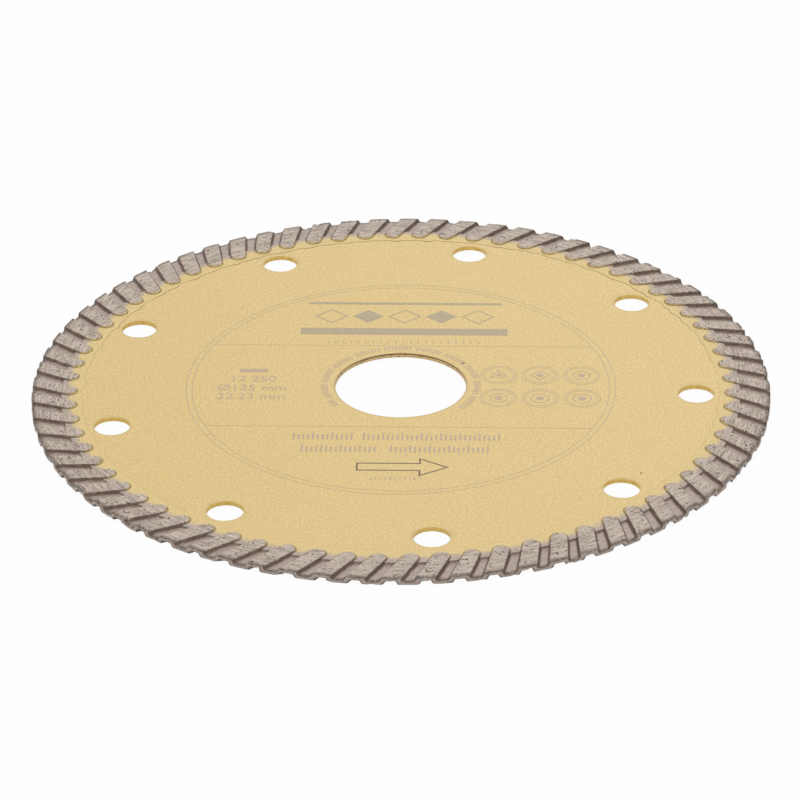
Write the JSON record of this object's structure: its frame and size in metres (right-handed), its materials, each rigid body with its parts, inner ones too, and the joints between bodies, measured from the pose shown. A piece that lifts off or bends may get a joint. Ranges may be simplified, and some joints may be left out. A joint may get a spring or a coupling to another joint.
{
  "type": "diamond blade",
  "caption": "Flat round cutting blade with a central arbor bore, cooling holes and a sintered turbo rim of slanted ridges on both faces.",
  "frame": {"origin": "centre of the arbor bore at mid-thickness of the blade", "axes": "+Z along the spindle axis out of the printed face, +Y towards the top of the print, +X to its right"},
  "size_m": [0.125, 0.125, 0.0014],
  "materials": {
    "core_paint": "satin gold lacquer on steel, with the print in a darker grey-beige",
    "rim_bond": "ground sintered metal bond, matt beige-grey with tangential grinding lines and open pores",
    "grit": "small dark crystals ground flush with the bond"
  },
  "bodies": {
    "root": {"steel_core": "core_paint", "turbo_rim": "rim_bond", "diamond_grit": "grit"}
  },
  "joints": []
}
